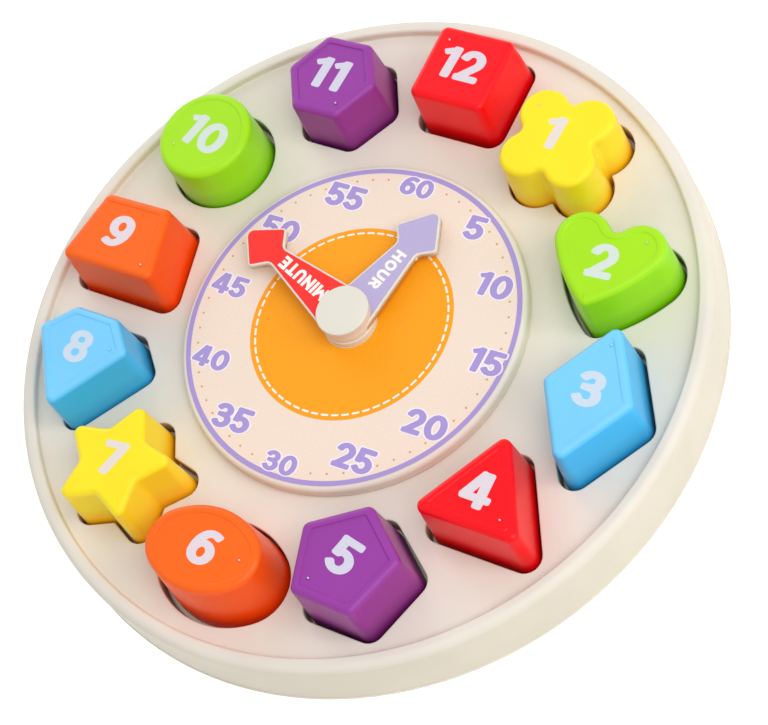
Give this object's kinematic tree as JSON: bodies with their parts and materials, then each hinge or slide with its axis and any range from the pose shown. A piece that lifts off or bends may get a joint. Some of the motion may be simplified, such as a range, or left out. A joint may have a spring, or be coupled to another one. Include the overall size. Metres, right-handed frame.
{
  "type": "shape sorting clock",
  "caption": "Round toy teaching clock with lift-out numbered shape blocks in matching wells and a raised dial with two turning hands.",
  "frame": {"origin": "centre of the flat back, on the surface the clock lies on", "axes": "+Z out of the dial, +Y towards twelve o'clock, +X towards three o'clock"},
  "size_m": [0.2656, 0.2656, 0.042],
  "materials": {
    "housing": "satin moulded ABS",
    "knob_plastic": "satin moulded ABS",
    "hand_plastic": "satin moulded ABS",
    "screw_steel": "zinc plated",
    "dial_print": "printed and laminated",
    "hour_print": "printed and laminated",
    "minute_print": "printed and laminated",
    "block_red": "polished moulded ABS",
    "block_yellow": "polished moulded ABS",
    "block_green": "polished moulded ABS",
    "block_blue": "polished moulded ABS",
    "block_purple": "polished moulded ABS",
    "block_orange": "polished moulded ABS"
  },
  "bodies": {
    "housing": {"dial_label": "dial_print", "dial_plate": "housing", "dial_plate_screws": "screw_steel", "front_shell": "housing", "hand_knob": "knob_plastic", "knob_screw": "screw_steel", "knob_washer": "screw_steel", "rear_cover": "housing", "rear_cover_screws": "screw_steel"},
    "hour_hand": {"hour_hand": "hand_plastic", "hour_hand_label": "hour_print"},
    "minute_hand": {"minute_hand": "hand_plastic", "minute_hand_label": "minute_print"},
    "block_01_flower": {"block_01_flower": "block_yellow", "block_01_flower_base": "block_yellow"},
    "block_02_heart": {"block_02_heart": "block_green", "block_02_heart_base": "block_green"},
    "block_03_rhombus": {"block_03_rhombus": "block_blue", "block_03_rhombus_base": "block_blue"},
    "block_04_triangle": {"block_04_triangle": "block_red", "block_04_triangle_base": "block_red"},
    "block_05_pentagon": {"block_05_pentagon": "block_purple", "block_05_pentagon_base": "block_purple"},
    "block_06_oval": {"block_06_oval": "block_orange", "block_06_oval_base": "block_orange"},
    "block_07_star": {"block_07_star": "block_yellow", "block_07_star_base": "block_yellow"},
    "block_08_gem": {"block_08_gem": "block_blue", "block_08_gem_base": "block_blue"},
    "block_09_trapezoid": {"block_09_trapezoid": "block_orange", "block_09_trapezoid_base": "block_orange"},
    "block_10_circle": {"block_10_circle": "block_green", "block_10_circle_base": "block_green"},
    "block_11_hexagon": {"block_11_hexagon": "block_purple", "block_11_hexagon_base": "block_purple"},
    "block_12_square": {"block_12_square": "block_red", "block_12_square_base": "block_red"}
  },
  "joints": [
    {"name": "hour_hand_turn", "type": "hinge", "parent": "housing", "child": "hour_hand", "pos_m": [0, 0, 0.0303], "axis": [0, 0, 1], "continuous": true},
    {"name": "minute_hand_turn", "type": "hinge", "parent": "housing", "child": "minute_hand", "pos_m": [0, 0, 0.033], "axis": [0, 0, 1], "continuous": true},
    {"name": "block_01_flower_lift", "type": "slide", "parent": "housing", "child": "block_01_flower", "axis": [0, 0, 1], "range_m": [0, 0.045]},
    {"name": "block_02_heart_lift", "type": "slide", "parent": "housing", "child": "block_02_heart", "axis": [0, 0, 1], "range_m": [0, 0.045]},
    {"name": "block_03_rhombus_lift", "type": "slide", "parent": "housing", "child": "block_03_rhombus", "axis": [0, 0, 1], "range_m": [0, 0.045]},
    {"name": "block_04_triangle_lift", "type": "slide", "parent": "housing", "child": "block_04_triangle", "axis": [0, 0, 1], "range_m": [0, 0.045]},
    {"name": "block_05_pentagon_lift", "type": "slide", "parent": "housing", "child": "block_05_pentagon", "axis": [0, 0, 1], "range_m": [0, 0.045]},
    {"name": "block_06_oval_lift", "type": "slide", "parent": "housing", "child": "block_06_oval", "axis": [0, 0, 1], "range_m": [0, 0.045]},
    {"name": "block_07_star_lift", "type": "slide", "parent": "housing", "child": "block_07_star", "axis": [0, 0, 1], "range_m": [0, 0.045]},
    {"name": "block_08_gem_lift", "type": "slide", "parent": "housing", "child": "block_08_gem", "axis": [0, 0, 1], "range_m": [0, 0.045]},
    {"name": "block_09_trapezoid_lift", "type": "slide", "parent": "housing", "child": "block_09_trapezoid", "axis": [0, 0, 1], "range_m": [0, 0.045]},
    {"name": "block_10_circle_lift", "type": "slide", "parent": "housing", "child": "block_10_circle", "axis": [0, 0, 1], "range_m": [0, 0.045]},
    {"name": "block_11_hexagon_lift", "type": "slide", "parent": "housing", "child": "block_11_hexagon", "axis": [0, 0, 1], "range_m": [0, 0.045]},
    {"name": "block_12_square_lift", "type": "slide", "parent": "housing", "child": "block_12_square", "axis": [0, 0, 1], "range_m": [0, 0.045]}
  ]
}
